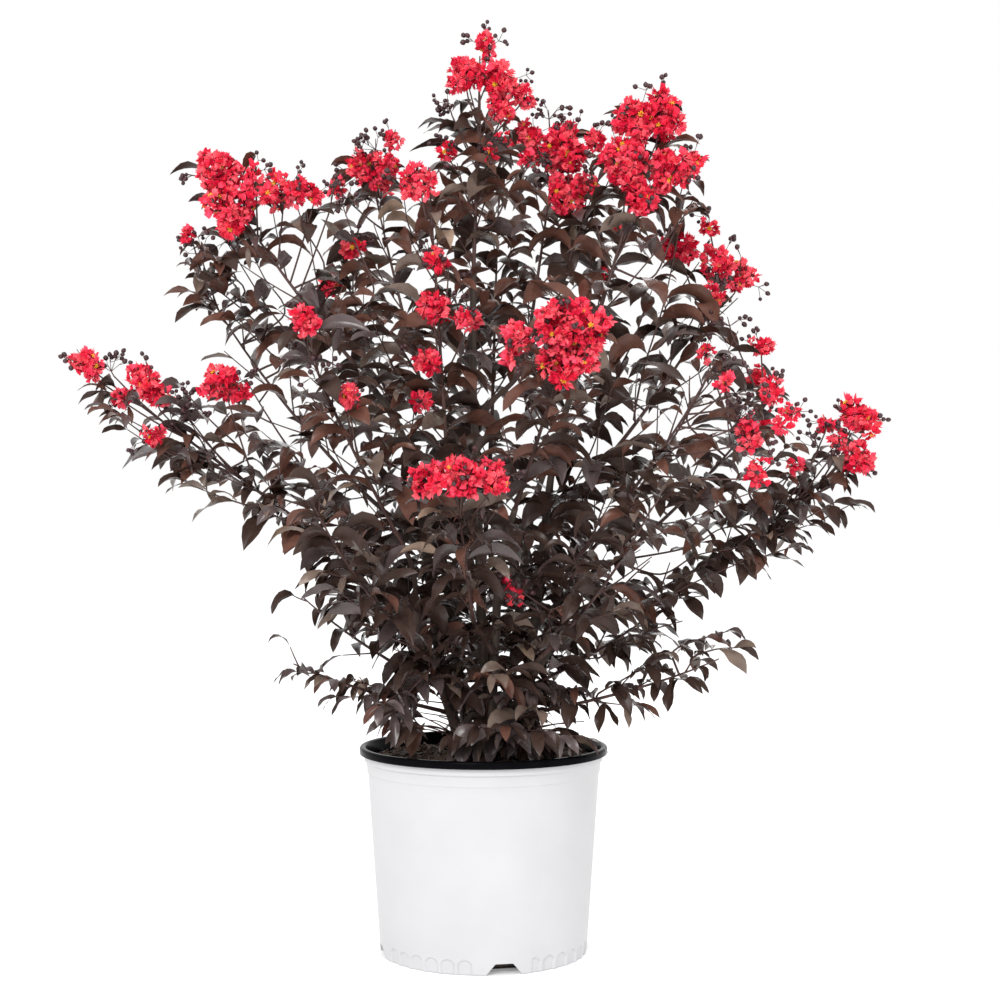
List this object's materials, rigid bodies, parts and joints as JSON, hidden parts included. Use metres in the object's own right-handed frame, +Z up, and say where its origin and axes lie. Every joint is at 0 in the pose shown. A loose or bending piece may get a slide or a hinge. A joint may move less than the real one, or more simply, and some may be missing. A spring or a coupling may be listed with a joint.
{
  "type": "potted crape myrtle shrub in bloom",
  "caption": "Dark-leaved flowering shrub with upright stems and loose panicles of blossom, in a round tapered nursery pot with a rolled rim.",
  "frame": {"origin": "centre of the pot's flat underside, on the surface that it stands on", "axes": "+Z up along the pot's axis; -Y is the plant's front, as pictured; +X is to the right seen from the front"},
  "size_m": [0.9255, 0.6468, 1.047],
  "materials": {
    "pot_white": "semi-gloss moulded white",
    "pot_black": "semi-gloss black",
    "potting_soil": "rough bark mix",
    "bark": "smooth tan bark that flakes",
    "young_bark": "smooth dark red-brown bark",
    "foliage": "dark brown-purple leaves with a soft gloss",
    "petals": "crinkled crimson petals",
    "stamens": "yellow anthers",
    "buds": "dark maroon buds"
  },
  "bodies": {
    "root": {"bough_back_left": "young_bark", "bough_back_right": "young_bark", "bough_front_low_left": "young_bark", "bough_front_low_right": "young_bark", "bough_front_middle": "young_bark", "bough_front_upper_left": "young_bark", "bough_left_front": "young_bark", "bough_left_shoulder": "young_bark", "bough_right_front": "young_bark", "bough_right_shoulder": "young_bark", "bough_right_side": "young_bark", "bough_top_back": "young_bark", "bough_top_left": "young_bark", "bough_top_right": "young_bark", "foliage_back_left": "foliage", "foliage_back_middle": "foliage", "foliage_back_right": "foliage", "foliage_back_upper_left": "foliage", "foliage_back_upper_right": "foliage", "foliage_crown_top": "foliage", "foliage_front_low_left": "foliage", "foliage_front_low_right": "foliage", "foliage_front_middle": "foliage", "foliage_front_upper_left": "foliage", "foliage_front_upper_right": "foliage", "foliage_left_arm": "foliage", "foliage_left_front": "foliage", "foliage_left_shoulder": "foliage", "foliage_low_back_left": "foliage", "foliage_low_back_right": "foliage", "foliage_low_front": "foliage", "foliage_low_left": "foliage", "foliage_low_left_sprig": "foliage", "foliage_low_right": "foliage", "foliage_low_right_sprig": "foliage", "foliage_right_arm": "foliage", "foliage_right_front": "foliage", "foliage_right_shoulder": "foliage", "foliage_right_side": "foliage", "foliage_top_back": "foliage", "foliage_top_left": "foliage", "foliage_top_right": "foliage", "foliage_upper_left": "foliage", "foliage_upper_right": "foliage", "leader": "bark", "pot_lining": "pot_black", "pot_shell": "pot_white", "potting_soil": "potting_soil", "stem_back": "bark", "stem_back_left": "bark", "stem_back_right": "bark", "stem_front": "bark", "stem_left": "bark", "stem_right": "bark", "stem_upper_left": "bark", "stem_upper_right": "bark", "stool": "bark"}
  },
  "joints": []
}
